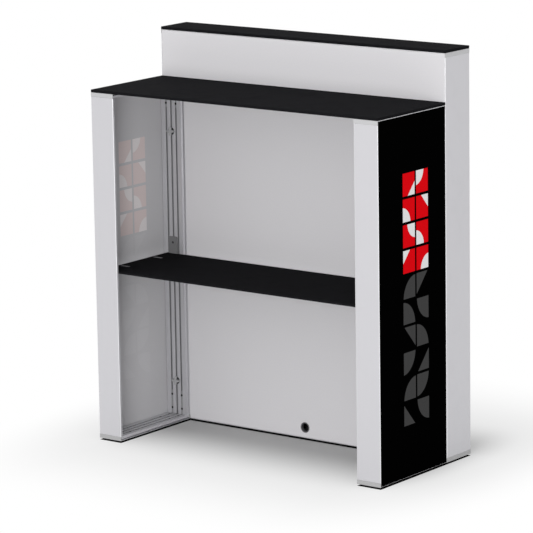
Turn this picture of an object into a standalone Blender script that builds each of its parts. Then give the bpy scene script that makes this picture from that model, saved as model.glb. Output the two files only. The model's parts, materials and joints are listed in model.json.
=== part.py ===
"""Exhibition counter, a knock-down one: two open wing frames carry the worktop, and a taller wall frame
stands across their far side and carries the bar top. Fabric is pressed into the frames' edge grooves.

Metres, +Z up, +X to the right as the staff see it, +Y towards the visitors.
The origin is at the middle of the footprint, on the floor.
"""

import math

import bmesh
import bpy
from mathutils import Matrix, Vector

# Overall sizes
WIDTH = 1.000
WING_DEPTH = 0.325
WALL_DEPTH = 0.120
WING_WIDTH = 0.080
WING_HEIGHT = 1.022
WALL_HEIGHT = 1.166
BOARD = 0.008
SHELF_BOARD = 0.006
SHELF_TOP = 0.505

# Clearances
GAP = 0.0003
LOOSE = 0.0005
OVERRUN = 0.004

# Frame profile: u runs across its width, v from its outer face inwards
PROFILE = 0.012
PROFILE_WALL = 0.0014
EDGE_CHAMFER = 0.0010
LIP_HEIGHT = 0.008
BODY_SETBACK = 0.004
INNER_LIP_SETBACK = 0.0015
GROOVE_CENTRE = 0.0033
GROOVE_WIDTH = 0.0034
GROOVE_DEPTH = 0.012
SLOT_NECK = 0.005
SLOT_NECK_DEPTH = 0.0018
SLOT_CHAMBER = 0.0086
SLOT_CHAMBER_DEPTH = 0.0038
WING_SLOT_PITCH = 0.018
WALL_SLOT_PITCH = 0.036

# Corner castings: a cap on the rail's end, and legs in the T-slots, measured from the corner's outside
CAP = 0.0016
CORNER_BEND_WIDTH = 0.0042
CORNER_LEG_WIDTH = 0.0078
CORNER_LEG_THICKNESS = 0.003
CORNER_LEG = 0.082
GRUB_BORE = 0.0048
GRUB_PLACES = (0.029, 0.070)
GRUB_SIDES = 12

# Foot strips
FOOT_HEIGHT = 0.005
FOOT_INSET = 0.007

# Fabric and its edging
FABRIC = 0.0009
FABRIC_RECESS = 0.0003
EDGING = 0.0026
EDGING_DEPTH = 0.0090
EDGING_END_GAP = 0.002

# Board locating pins
PIN_DIAMETER = 0.008
PIN_IN_BOARD = 0.004
PIN_IN_RAIL = 0.004
PIN_TIP_CHAMFER = 0.001
PIN_FROM_WING_END = 0.060
BAR_PIN_PITCH = 0.340
PIN_SIDES = 12
BOARD_CHAMFER = 0.0006

# Shelf and its brackets
SHELF_SIDE_INSET = 0.016
SHELF_EDGE_GAP = 0.001
BRACKET_WIDTH = 0.031
BRACKET_THICKNESS = 0.003
BRACKET_RISE = 0.051
BRACKET_CORNER = 0.005
PAD_REACH = 0.075
PAD_LENGTH = 0.010
BRACKET_RIB_SHARES = (0.12, 0.84)

# T-shaped rib that hooks a casting into a T-slot
RIB_NECK = 0.0044
RIB_HEAD = 0.0080

# Quarter-turn locks between the wings and the wall
LOCK_LOW = 0.119
LOCK_BELOW_TOP = 0.152
LOCK_SIDES = 16
KNOB_RADIUS = 0.0095
KNOB_LOBE = 0.0040
KNOB_LOBES = 4
KNOB_POINTS = 32
KNOB_HEIGHT = 0.0085
KNOB_CHAMFER = 0.0015
KNOB_BORE_DEPTH = 0.006
BOLT_DIAMETER = 0.005
BOLT_HEAD_LENGTH = 0.0116
BOLT_HEAD = 0.003
RECEIVER_PLATE = 0.003
RECEIVER_HEIGHT = 0.044
RECEIVER_SETBACK = 0.0055
RECEIVER_BEYOND_LOCK = 0.014
RECEIVER_BEYOND_RIB = 0.012
COLLAR_DIAMETER = 0.018
COLLAR_BORE = 0.0124

# Cable grommet in the wall's fabric on the staff side
GROMMET_ASIDE = 0.004
GROMMET_HEIGHT = 0.037
GROMMET_FLANGE = 0.031
GROMMET_FLANGE_THICKNESS = 0.0012
GROMMET_BARREL = 0.0270
GROMMET_BORE = 0.0246
GROMMET_LENGTH = 0.008
GROMMET_RING = 0.034
GROMMET_RING_THICKNESS = 0.0015
GROMMET_SIDES = 24

# Places worked out from the sizes above
Y_STAFF = -(WING_DEPTH + WALL_DEPTH) / 2
Y_JOIN = Y_STAFF + WING_DEPTH
FRAME_BASE = FOOT_HEIGHT + GAP
WALL_PROFILE_WIDTH = WALL_DEPTH - GAP
WALL_CENTRE_Y = Y_JOIN + GAP + WALL_PROFILE_WIDTH / 2
LOCK_X = (WIDTH - WING_WIDTH) / 2
LOCK_HIGH = WING_HEIGHT - LOCK_BELOW_TOP
STILE_FACE_Y = Y_JOIN - PROFILE
NECK_FLOOR = PROFILE - SLOT_NECK_DEPTH
CHAMBER_FLOOR = NECK_FLOOR - SLOT_CHAMBER_DEPTH
WING_SLOTS = (-WING_SLOT_PITCH, 0.0, WING_SLOT_PITCH)
WALL_SLOTS = (-WALL_SLOT_PITCH, 0.0, WALL_SLOT_PITCH)
SIDES = (("left", -1), ("right", 1))


def material(name, colour, roughness, metallic):
    made = bpy.data.materials.new(name)
    made.use_nodes = True
    shader = made.node_tree.nodes["Principled BSDF"]
    shader.inputs["Base Color"].default_value = (*colour, 1.0)
    shader.inputs["Roughness"].default_value = roughness
    shader.inputs["Metallic"].default_value = metallic
    return made


def add_object(name, mesh_maker, finish, matrix=None):
    """A named object from a bmesh, with its material, at its place."""
    bmesh.ops.recalc_face_normals(mesh_maker, faces=mesh_maker.faces)
    mesh = bpy.data.meshes.new(name)
    mesh_maker.to_mesh(mesh)
    mesh_maker.free()
    if finish:
        mesh.materials.append(finish)
    made = bpy.data.objects.new(name, mesh)
    bpy.context.scene.collection.objects.link(made)
    made.matrix_world = matrix or Matrix()
    return made


def cut(target, cutter, operation="DIFFERENCE"):
    """Hides a tool solid and takes it from the target, or with UNION joins it to the target."""
    cutter.hide_render = True
    cutter.display_type = "WIRE"
    modifier = target.modifiers.new(cutter.name, "BOOLEAN")
    modifier.operation = operation
    modifier.solver = "EXACT"
    modifier.object = cutter


def add_box(mesh_maker, low, high):
    """Adds a closed box between two corners."""
    low, high = Vector(low), Vector(high)
    size = high - low
    place = Matrix.Translation((low + high) / 2) @ Matrix.Diagonal((*size, 1.0))
    bmesh.ops.create_cube(mesh_maker, size=1.0, matrix=place)


def add_extrusion(mesh_maker, outlines, length, matrix=None):
    """Adds flat outlines, the first the outer one and the rest its holes, drawn out along local +Z."""
    rims = []
    for outline in outlines:
        corners = [mesh_maker.verts.new((x, y, 0.0)) for x, y in outline]
        rims += [mesh_maker.edges.new(pair) for pair in zip(corners, corners[1:] + corners[:1])]
    filled = bmesh.ops.triangle_fill(mesh_maker, use_beauty=True, edges=rims)
    faces = [item for item in filled["geom"] if isinstance(item, bmesh.types.BMFace)]
    near = list({vert for face in faces for vert in face.verts})
    drawn = bmesh.ops.extrude_face_region(mesh_maker, geom=faces)
    far = [item for item in drawn["geom"] if isinstance(item, bmesh.types.BMVert)]
    bmesh.ops.translate(mesh_maker, verts=far, vec=(0.0, 0.0, length))
    if matrix:
        bmesh.ops.transform(mesh_maker, matrix=matrix, verts=near + far)


def add_turned(mesh_maker, steps, sides, matrix=None):
    """Adds a solid turned about local Z from (radius, z) steps that go from one end to the other."""
    rings = []
    for radius, z in steps:
        angles = [math.tau * (i + 0.5) / sides for i in range(sides)]
        rings.append([mesh_maker.verts.new((radius * math.cos(a), radius * math.sin(a), z)) for a in angles])
    for lower, upper in zip(rings, rings[1:]):
        for i in range(sides):
            j = (i + 1) % sides
            mesh_maker.faces.new((lower[i], lower[j], upper[j], upper[i]))
    mesh_maker.faces.new(list(reversed(rings[0])))
    mesh_maker.faces.new(rings[-1])
    if matrix:
        bmesh.ops.transform(mesh_maker, matrix=matrix, verts=[vert for ring in rings for vert in ring])


def axes(origin, x_axis, y_axis, z_axis):
    """The matrix that puts local X, Y and Z along three world directions at a place."""
    turn = Matrix((x_axis, y_axis, z_axis)).transposed().to_4x4()
    return Matrix.Translation(origin) @ turn


def facing(origin, direction):
    """The matrix that turns local +Z to a direction, at a place."""
    return Matrix.Translation(origin) @ Vector(direction).to_track_quat("Z", "Y").to_matrix().to_4x4()


def profile_outlines(width, slots):
    """Outer outline and hollow of the frame profile, with its edge grooves and T-slots."""
    half = width / 2
    groove_low = GROOVE_CENTRE - GROOVE_WIDTH / 2
    groove_high = GROOVE_CENTRE + GROOVE_WIDTH / 2
    groove_floor = half - GROOVE_DEPTH
    edge = [
        (half - EDGE_CHAMFER, 0.0),
        (half, EDGE_CHAMFER),
        (half, groove_low),
        (groove_floor, groove_low),
        (groove_floor, groove_high),
        (half - INNER_LIP_SETBACK, groove_high),
        (half - INNER_LIP_SETBACK, LIP_HEIGHT),
        (half - BODY_SETBACK, LIP_HEIGHT),
        (half - BODY_SETBACK, PROFILE),
    ]
    outer = list(edge)
    for place in reversed(slots):
        half_slot = [
            (SLOT_NECK / 2, PROFILE),
            (SLOT_NECK / 2, NECK_FLOOR),
            (SLOT_CHAMBER / 2, NECK_FLOOR),
            (SLOT_CHAMBER / 2, CHAMBER_FLOOR),
        ]
        outer += [(place + u, v) for u, v in half_slot]
        outer += [(place - u, v) for u, v in reversed(half_slot)]
    outer += [(-u, v) for u, v in reversed(edge)]

    end = groove_floor - PROFILE_WALL
    roof = PROFILE - PROFILE_WALL
    under_slots = CHAMBER_FLOOR - PROFILE_WALL
    beside_slot = SLOT_CHAMBER / 2 + PROFILE_WALL
    hollow = [(-end, PROFILE_WALL), (end, PROFILE_WALL), (end, roof)]
    for place in reversed(slots):
        hollow += [(place + beside_slot, roof), (place + beside_slot, under_slots)]
        hollow += [(place - beside_slot, under_slots), (place - beside_slot, roof)]
    hollow.append((-end, roof))
    return outer, hollow


class Frame:
    """One upright frame. Its local X runs along its rails, local Y across its profile, local Z up."""

    def __init__(self, name, origin, run, length, height, width, slots, ends):
        self.name = name
        self.matrix = axes(origin, run, Vector((0, 0, 1)).cross(run), (0, 0, 1))
        self.length = length
        self.height = height
        self.width = width
        self.slots = slots
        self.ends = ends

    def member(self, name, origin, inward, along, length, finish):
        """A length of profile. Its outer face is at the origin and its inner face looks inwards."""
        inward, along = Vector(inward), Vector(along)
        made = bmesh.new()
        add_extrusion(made, profile_outlines(self.width, self.slots), length)
        place = axes(origin, inward.cross(along), inward, along)
        return add_object(f"{self.name}_{name}", made, finish, self.matrix @ place)

    def build_members(self, finish):
        """Two rails that run right through, and two stiles that stand between them."""
        rail_start = CAP + GAP
        rail = self.length - 2 * rail_start
        stile_foot = PROFILE + GAP
        stile = self.height - 2 * stile_foot
        first, last = (f"{end}_stile" for end in self.ends)
        return {
            "bottom": self.member("bottom_rail", (rail_start, 0, 0), (0, 0, 1), (1, 0, 0), rail, finish),
            "top": self.member("top_rail", (rail_start, 0, self.height), (0, 0, -1), (1, 0, 0), rail, finish),
            "first": self.member(first, (0, 0, stile_foot), (1, 0, 0), (0, 0, 1), stile, finish),
            "last": self.member(last, (self.length, 0, stile_foot), (-1, 0, 0), (0, 0, 1), stile, finish),
        }

    def build_corners(self, finish):
        """A casting at each corner, tapped for grub screws: a cap over the rail's end, and bent legs
        in the outer two T-slots. Only the bend passes through a slot's neck, so it is the narrower."""
        near = CHAMBER_FLOOR + GAP
        far = near + CORNER_LEG_THICKNESS
        stile_end = PROFILE + GAP
        half = self.width / 2
        half_leg = CORNER_LEG_WIDTH / 2
        bend = [
            (near, near),
            (stile_end, near),
            (stile_end, far),
            (far, far),
            (far, stile_end + CORNER_LEG_THICKNESS),
            (near, stile_end + CORNER_LEG_THICKNESS),
        ]
        for end, x, x_way in zip(self.ends, (0, self.length), (1, -1)):
            for level, z, z_way in (("lower", 0, 1), ("upper", self.height, -1)):
                corner = Matrix.Translation((x, 0, z)) @ Matrix.Diagonal((x_way, 1, z_way, 1))
                cap, bends, legs, bores = (bmesh.new() for _ in range(4))
                add_box(cap, (0, -half, 0), (CAP, half, PROFILE))
                bmesh.ops.transform(cap, matrix=corner, verts=cap.verts)
                for slot in (self.slots[0], self.slots[-1]):
                    start = (0, slot + CORNER_BEND_WIDTH / 2, 0)
                    standing = axes(start, (1, 0, 0), (0, 0, 1), (0, -1, 0))
                    add_extrusion(bends, [bend], CORNER_BEND_WIDTH, corner @ standing)
                    sides = (slot - half_leg, slot + half_leg)
                    add_box(legs, (CAP / 2, sides[0], near), (CORNER_LEG, sides[1], far))
                    add_box(legs, (near, sides[0], stile_end + LOOSE), (far, sides[1], CORNER_LEG))
                    for place in GRUB_PLACES:
                        over = [(GRUB_BORE / 2, near - LOOSE), (GRUB_BORE / 2, far + LOOSE)]
                        in_rail = facing((place, slot, 0), (0, 0, 1))
                        in_stile = facing((0, slot, place), (1, 0, 0))
                        add_turned(bores, over, GRUB_SIDES, corner @ in_rail)
                        add_turned(bores, over, GRUB_SIDES, corner @ in_stile)
                bmesh.ops.transform(legs, matrix=corner, verts=legs.verts)
                name = f"{self.name}_{level}_{end}_corner"
                casting = add_object(name, cap, finish, self.matrix)
                cut(casting, add_object(f"{name}_legs", legs, None, self.matrix), "UNION")
                cut(casting, add_object(f"{name}_bends", bends, None, self.matrix), "UNION")
                cut(casting, add_object(f"{name}_bores", bores, None, self.matrix))

    def build_fabric(self, name, way, finish):
        """A panel on one side of the frame, with its edging: a strip sewn behind each edge."""
        outer = self.width / 2 - FABRIC_RECESS
        inner = outer - FABRIC
        margin = GROOVE_CENTRE - GROOVE_WIDTH / 2 + GAP
        panel_y = sorted((way * inner, way * outer))
        panel = bmesh.new()
        low = (margin, panel_y[0], margin)
        high = (self.length - margin, panel_y[1], self.height - margin)
        add_box(panel, low, high)
        made = add_object(name, panel, finish, self.matrix)

        strip_y = sorted((way * (inner + FABRIC / 2), way * (inner - EDGING_DEPTH)))
        x_end = CAP + GAP + EDGING_END_GAP
        z_end = PROFILE + GAP + EDGING_END_GAP
        strips = bmesh.new()
        for middle in (GROOVE_CENTRE, self.length - GROOVE_CENTRE):
            low = (middle - EDGING / 2, strip_y[0], z_end)
            high = (middle + EDGING / 2, strip_y[1], self.height - z_end)
            add_box(strips, low, high)
        for middle in (GROOVE_CENTRE, self.height - GROOVE_CENTRE):
            low = (x_end, strip_y[0], middle - EDGING / 2)
            high = (self.length - x_end, strip_y[1], middle + EDGING / 2)
            add_box(strips, low, high)
        cut(made, add_object(f"{name}_edging", strips, None, self.matrix), "UNION")
        return made

    def build_foot(self, finish):
        """A strip under the bottom rail."""
        half = self.width / 2 - FOOT_INSET
        base = -self.matrix.translation.z
        strip = bmesh.new()
        add_box(strip, (FOOT_INSET, -half, base), (self.length - FOOT_INSET, half, base + FOOT_HEIGHT))
        add_object(f"{self.name}_foot_strip", strip, finish, self.matrix)

    def build(self, finishes):
        self.build_corners(finishes["casting"])
        self.build_foot(finishes["rubber"])
        return self.build_members(finishes["profile"])


def add_rib(mesh_maker, low, high, matrix):
    """A T-shaped rib for a T-slot, from one height to another. In the matrix, +Y runs into the slot."""
    neck, head = RIB_NECK / 2, RIB_HEAD / 2
    start = -(GAP + BRACKET_THICKNESS / 2)
    shoulder = SLOT_NECK_DEPTH + GAP
    tip = SLOT_NECK_DEPTH + SLOT_CHAMBER_DEPTH - GAP
    half = [(neck, start), (neck, shoulder), (head, shoulder), (head, tip)]
    outline = half + [(-x, y) for x, y in reversed(half)]
    add_extrusion(mesh_maker, [outline], high - low, matrix @ Matrix.Translation((0, 0, low)))


def build_pinned_board(name, low, high, pin_places, rails, finish, pin_finish):
    """A board that lies on rails, with pins in blind holes below that drop into the rails."""
    board = bmesh.new()
    add_box(board, low, high)
    rim = [edge for edge in board.edges if abs(edge.verts[0].co.z - edge.verts[1].co.z) < GAP]
    bmesh.ops.bevel(board, geom=rim, offset=BOARD_CHAMFER, segments=1, affect="EDGES")
    made = add_object(name, board, finish)

    under = low[2]
    radius = PIN_DIAMETER / 2
    blind = bmesh.new()
    through = bmesh.new()
    pin_steps = [
        (radius - PIN_TIP_CHAMFER, -PIN_IN_RAIL),
        (radius, PIN_TIP_CHAMFER - PIN_IN_RAIL),
        (radius, PIN_IN_BOARD),
    ]
    for index, (x, y) in enumerate(pin_places, start=1):
        seat = Matrix.Translation((x, y, under))
        add_turned(blind, [(radius + GAP, -OVERRUN), (radius + GAP, PIN_IN_BOARD + GAP)], PIN_SIDES, seat)
        bottom = -(GAP + PROFILE_WALL + LOOSE)
        add_turned(through, [(radius + GAP, bottom), (radius + GAP, OVERRUN)], PIN_SIDES, seat)
        pin = bmesh.new()
        add_turned(pin, pin_steps, PIN_SIDES)
        add_object(f"{name}_pin_{index}", pin, pin_finish, seat)
    cut(made, add_object(f"{name}_blind_holes", blind, None))
    rail_cutter = add_object(f"{name}_rail_holes", through, None)
    for rail in rails:
        cut(rail, rail_cutter)


def shelf_openings():
    """Nearest and farthest reach from the stile of the shelf's notch and of its pad slot."""
    notch = (-LOOSE, GAP + BRACKET_THICKNESS + LOOSE)
    slot = (PAD_REACH - PAD_LENGTH / 2 - LOOSE, PAD_REACH + PAD_LENGTH / 2 + LOOSE)
    return notch, slot


def build_shelf(finishes):
    """The shelf and its four brackets: each bracket's arm lies under the shelf and ends in a pad."""
    underside = SHELF_TOP - SHELF_BOARD
    y_low = Y_STAFF + PROFILE + SHELF_EDGE_GAP
    y_high = STILE_FACE_Y - SHELF_EDGE_GAP
    half = WIDTH / 2 - SHELF_SIDE_INSET
    board = bmesh.new()
    add_box(board, (-half, y_low, underside), (half, y_high, SHELF_TOP))
    shelf = add_object("shelf", board, finishes["board"])

    openings = bmesh.new()
    half_slot = BRACKET_WIDTH / 2 + LOOSE
    for side, way in SIDES:
        for end, stile_y, inward in (("front", Y_STAFF + PROFILE, 1), ("rear", STILE_FACE_Y, -1)):
            place = axes((way * LOCK_X, stile_y, 0), (-inward, 0, 0), (0, -inward, 0), (0, 0, 1))
            build_shelf_bracket(f"shelf_bracket_{side}_{end}", place, finishes["zinc"])
            for near, far in shelf_openings():
                reach = sorted((stile_y + inward * near, stile_y + inward * far))
                low = (way * LOCK_X - half_slot, reach[0], underside - OVERRUN)
                high = (way * LOCK_X + half_slot, reach[1], SHELF_TOP + OVERRUN)
                add_box(openings, low, high)
    cut(shelf, add_object("shelf_openings", openings, None))


def build_shelf_bracket(name, place, finish):
    """A casting hooked into the stile's middle T-slot. Local -Y runs from the stile's face along its arm."""
    arm_top = SHELF_TOP - SHELF_BOARD - GAP
    arm_low = arm_top - BRACKET_THICKNESS
    near, far = GAP, GAP + BRACKET_THICKNESS
    pad_near, pad_far = PAD_REACH - PAD_LENGTH / 2, PAD_REACH + PAD_LENGTH / 2
    top = SHELF_TOP + BRACKET_RISE
    side_view = [
        (near, arm_low),
        (pad_far, arm_low),
        (pad_far, SHELF_TOP),
        (pad_near, SHELF_TOP),
        (pad_near, arm_top),
        (far, arm_top),
        (far, top),
        (near, top),
    ]
    solid = bmesh.new()
    drawn = axes((BRACKET_WIDTH / 2, 0, 0), (0, -1, 0), (0, 0, 1), (-1, 0, 0))
    add_extrusion(solid, [side_view], BRACKET_WIDTH, drawn)
    shoulders = [
        edge
        for edge in solid.edges
        if all(vert.co.z > top - GAP for vert in edge.verts)
        and abs(edge.verts[0].co.y - edge.verts[1].co.y) > BRACKET_THICKNESS / 2
        and abs(edge.verts[0].co.x - edge.verts[1].co.x) < GAP
    ]
    bmesh.ops.bevel(solid, geom=shoulders, offset=BRACKET_CORNER, segments=2, profile=0.5, affect="EDGES")
    bracket = add_object(name, solid, finish, place)
    rib = bmesh.new()
    low, high = (SHELF_TOP + BRACKET_RISE * share for share in BRACKET_RIB_SHARES)
    add_rib(rib, low, high, Matrix())
    cut(bracket, add_object(f"{name}_rib", rib, None, place), "UNION")


def knob_outline(drawn_in):
    """The grip's lobed outline, drawn in by a length."""
    points = []
    for i in range(KNOB_POINTS):
        angle = math.tau * i / KNOB_POINTS
        radius = KNOB_RADIUS + KNOB_LOBE * math.cos(KNOB_LOBES * angle) - drawn_in
        points.append((radius * math.cos(angle), radius * math.sin(angle)))
    return points


def build_knob(name, place, finish):
    """A lobed grip with a blind bore for its bolt. Local +Z runs from the stile to the hand."""
    levels = ((0.0, 0.0), (0.0, KNOB_HEIGHT - KNOB_CHAMFER), (KNOB_CHAMFER, KNOB_HEIGHT))
    grip = bmesh.new()
    rings = [[grip.verts.new((x, y, z)) for x, y in knob_outline(drawn_in)] for drawn_in, z in levels]
    for lower, upper in zip(rings, rings[1:]):
        for i in range(KNOB_POINTS):
            j = (i + 1) % KNOB_POINTS
            grip.faces.new((lower[i], lower[j], upper[j], upper[i]))
    grip.faces.new(list(reversed(rings[0])))
    grip.faces.new(rings[-1])
    knob = add_object(name, grip, finish, place)
    bore = bmesh.new()
    radius = BOLT_DIAMETER / 2 + GAP
    add_turned(bore, [(radius, -OVERRUN), (radius, KNOB_BORE_DEPTH)], LOCK_SIDES)
    cut(knob, add_object(f"{name}_bore", bore, None, place))


def build_bolt(name, place, finish):
    """A hammer-head bolt from the knob through the stile and the receiver. Local +Z runs to the hand."""
    head_near = -(PROFILE + GAP + GAP + RECEIVER_SETBACK + RECEIVER_PLATE + GAP)
    shank = bmesh.new()
    steps = [(BOLT_DIAMETER / 2, head_near - BOLT_HEAD / 2), (BOLT_DIAMETER / 2, KNOB_BORE_DEPTH - GAP)]
    add_turned(shank, steps, LOCK_SIDES)
    bolt = add_object(name, shank, finish, place)
    head = bmesh.new()
    half = (BOLT_HEAD_LENGTH / 2, BOLT_DIAMETER / 2)
    add_box(head, (-half[0], -half[1], head_near - BOLT_HEAD), (half[0], half[1], head_near))
    cut(bolt, add_object(f"{name}_head", head, None, place), "UNION")


def build_receiver(name, way, height, finish):
    """An angle plate hooked into the wall's stile, with a collar for the bolt and a keyed slot."""
    stile_face = WIDTH / 2 - PROFILE
    near = Y_JOIN + GAP + RECEIVER_SETBACK
    seat_x = stile_face - GAP
    inner_x = LOCK_X - RECEIVER_BEYOND_LOCK
    far_y = WALL_CENTRE_Y + RECEIVER_BEYOND_RIB
    plan = [
        (seat_x, near),
        (seat_x, far_y),
        (seat_x - RECEIVER_PLATE, far_y),
        (seat_x - RECEIVER_PLATE, near + RECEIVER_PLATE),
        (inner_x, near + RECEIVER_PLATE),
        (inner_x, near),
    ]
    angle = bmesh.new()
    add_extrusion(angle, [[(way * x, y) for x, y in plan]], RECEIVER_HEIGHT)
    plate = add_object(name, angle, finish, Matrix.Translation((0, 0, height - RECEIVER_HEIGHT / 2)))

    through = facing((way * LOCK_X, Y_JOIN, height), (0, 1, 0))
    collar = bmesh.new()
    half_plate = near + RECEIVER_PLATE / 2 - Y_JOIN
    add_turned(collar, [(COLLAR_DIAMETER / 2, GAP), (COLLAR_DIAMETER / 2, half_plate)], LOCK_SIDES)
    cut(plate, add_object(f"{name}_collar", collar, None, through), "UNION")
    rib = bmesh.new()
    slot_place = axes((way * stile_face, WALL_CENTRE_Y, height), (0, -way, 0), (way, 0, 0), (0, 0, 1))
    half_rib = (RECEIVER_HEIGHT - RECEIVER_PLATE) / 2
    add_rib(rib, -half_rib, half_rib, Matrix())
    cut(plate, add_object(f"{name}_rib", rib, None, slot_place), "UNION")

    bore = bmesh.new()
    add_turned(bore, [(COLLAR_BORE / 2, -OVERRUN), (COLLAR_BORE / 2, near - Y_JOIN)], LOCK_SIDES)
    cut(plate, add_object(f"{name}_bore", bore, None, through))
    key = bmesh.new()
    half_key = BOLT_DIAMETER / 2 + GAP
    reach = BOLT_HEAD_LENGTH / 2 + GAP
    low = (way * LOCK_X - half_key, near - LOOSE, height - reach)
    high = (way * LOCK_X + half_key, near + RECEIVER_PLATE + OVERRUN, height + reach)
    add_box(key, low, high)
    cut(plate, add_object(f"{name}_key", key, None))


def build_locks(rear_stiles, wall_fabric, finishes):
    """Four locks: knob and bolt on the wings, receivers in the wall, and the holes that they need."""
    stile_holes = bmesh.new()
    fabric_holes = bmesh.new()
    for side, way in SIDES:
        for level, height in (("lower", LOCK_LOW), ("upper", LOCK_HIGH)):
            seated = facing((way * LOCK_X, STILE_FACE_Y - GAP, height), (0, -1, 0))
            build_knob(f"lock_knob_{side}_{level}", seated, finishes["zinc"])
            build_bolt(f"lock_bolt_{side}_{level}", seated, finishes["steel"])
            build_receiver(f"lock_receiver_{side}_{level}", way, height, finishes["steel"])
            through = facing((way * LOCK_X, Y_JOIN, height), (0, 1, 0))
            radius = BOLT_DIAMETER / 2 + LOOSE
            add_turned(stile_holes, [(radius, -PROFILE - OVERRUN), (radius, OVERRUN)], LOCK_SIDES, through)
            radius = COLLAR_DIAMETER / 2 + LOOSE
            add_turned(fabric_holes, [(radius, -OVERRUN), (radius, OVERRUN)], LOCK_SIDES, through)
    cutter = add_object("lock_stile_holes", stile_holes, None)
    for stile in rear_stiles:
        cut(stile, cutter)
    cut(wall_fabric, add_object("lock_fabric_holes", fabric_holes, None))


def build_grommet(wall_fabric, finish):
    """A flanged ring through the wall's fabric, and the ring that holds it from behind."""
    fabric_face = Y_JOIN + GAP + FABRIC_RECESS
    through = facing((GROMMET_ASIDE, fabric_face, GROMMET_HEIGHT), (0, 1, 0))
    flange_steps = [
        (GROMMET_FLANGE / 2 - GAP, -GAP - GROMMET_FLANGE_THICKNESS),
        (GROMMET_FLANGE / 2, -GAP - GROMMET_FLANGE_THICKNESS / 2),
        (GROMMET_FLANGE / 2, -GAP),
        (GROMMET_BARREL / 2, -GAP),
        (GROMMET_BARREL / 2, GROMMET_LENGTH),
    ]
    flange = bmesh.new()
    add_turned(flange, flange_steps, GROMMET_SIDES)
    grommet = add_object("cable_grommet", flange, finish, through)
    bore = bmesh.new()
    bore_steps = [(GROMMET_BORE / 2, -OVERRUN), (GROMMET_BORE / 2, GROMMET_LENGTH + OVERRUN)]
    add_turned(bore, bore_steps, GROMMET_SIDES)
    cut(grommet, add_object("cable_grommet_bore", bore, None, through))

    behind = FABRIC + GAP
    ring = bmesh.new()
    ring_steps = [(GROMMET_RING / 2, behind), (GROMMET_RING / 2, behind + GROMMET_RING_THICKNESS)]
    add_turned(ring, ring_steps, GROMMET_SIDES)
    backing = add_object("cable_grommet_ring", ring, finish, through)
    hole = bmesh.new()
    radius = GROMMET_BARREL / 2 + GAP
    add_turned(hole, [(radius, -OVERRUN), (radius, GROMMET_LENGTH)], GROMMET_SIDES)
    cutter = add_object("cable_grommet_hole", hole, None, through)
    cut(backing, cutter)
    cut(wall_fabric, cutter)


def make_finishes():
    return {
        "profile": material("satin_aluminium", (0.66, 0.66, 0.69), 0.35, 0.9),
        "casting": material("grey_casting", (0.42, 0.42, 0.43), 0.45, 0.3),
        "zinc": material("zinc", (0.20, 0.20, 0.21), 0.45, 0.8),
        "steel": material("plated_steel", (0.55, 0.55, 0.56), 0.3, 1.0),
        "rubber": material("black_rubber", (0.01, 0.01, 0.01), 0.8, 0.0),
        "board": material("black_board", (0.016, 0.016, 0.018), 0.5, 0.0),
        "print": material("black_print_fabric", (0.004, 0.004, 0.004), 0.9, 0.0),
        "white": material("white_fabric", (0.60, 0.60, 0.61), 0.9, 0.0),
        "plastic": material("black_plastic", (0.02, 0.02, 0.02), 0.5, 0.0),
    }


def build_counter():
    finishes = make_finishes()
    rear_stiles = []
    wing_top_rails = []
    for side, way in SIDES:
        origin = (way * LOCK_X, Y_STAFF, FRAME_BASE)
        run = Vector((0, 1, 0))
        height = WING_HEIGHT - FRAME_BASE
        ends = ("front", "rear")
        wing = Frame(f"{side}_wing", origin, run, WING_DEPTH, height, WING_WIDTH, WING_SLOTS, ends)
        members = wing.build(finishes)
        wing.build_fabric(f"{side}_side_fabric", -way, finishes["print"])
        rear_stiles.append(members["last"])
        wing_top_rails.append(members["top"])

    origin = (-WIDTH / 2, WALL_CENTRE_Y, FRAME_BASE)
    run = Vector((1, 0, 0))
    height = WALL_HEIGHT - FRAME_BASE
    ends = ("left", "right")
    wall = Frame("wall", origin, run, WIDTH, height, WALL_PROFILE_WIDTH, WALL_SLOTS, ends)
    members = wall.build(finishes)
    staff_fabric = wall.build_fabric("wall_staff_fabric", -1, finishes["white"])
    wall.build_fabric("wall_front_fabric", 1, finishes["print"])

    half = WIDTH / 2
    board, plastic = finishes["board"], finishes["plastic"]
    pin_rows = (Y_STAFF + PIN_FROM_WING_END, Y_JOIN - PIN_FROM_WING_END)
    wing_pins = [(x, y) for x in (-LOCK_X, LOCK_X) for y in pin_rows]
    under = WING_HEIGHT + GAP
    low, high = (-half, Y_STAFF, under), (half, Y_JOIN, under + BOARD)
    build_pinned_board("worktop", low, high, wing_pins, wing_top_rails, board, plastic)
    bar_pins = [(x, WALL_CENTRE_Y) for x in (-BAR_PIN_PITCH, 0.0, BAR_PIN_PITCH)]
    under = WALL_HEIGHT + GAP
    low, high = (-half, Y_JOIN + GAP, under), (half, -Y_STAFF, under + BOARD)
    build_pinned_board("bar_top", low, high, bar_pins, [members["top"]], board, plastic)

    build_shelf(finishes)
    build_locks(rear_stiles, staff_fabric, finishes)
    build_grommet(staff_fabric, plastic)


for existing in list(bpy.data.objects):
    bpy.data.objects.remove(existing)
build_counter()
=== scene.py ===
# %% [markdown]
# # An exhibition counter
#
# This counter is knocked down flat after every show: two open wing frames carry the worktop, a taller
# wall frame stands across their far side and carries the bar top, and printed fabric is pressed into
# the frames' edges. The solids already exist, at their true size. This file gives each of them its
# finish, adds the small things that a solid model leaves out, and sets up a plain studio.

# %% Load the solids
import itertools
import json
import math
from functools import partial

import bmesh
import bpy
from mathutils import Matrix, Vector


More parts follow.
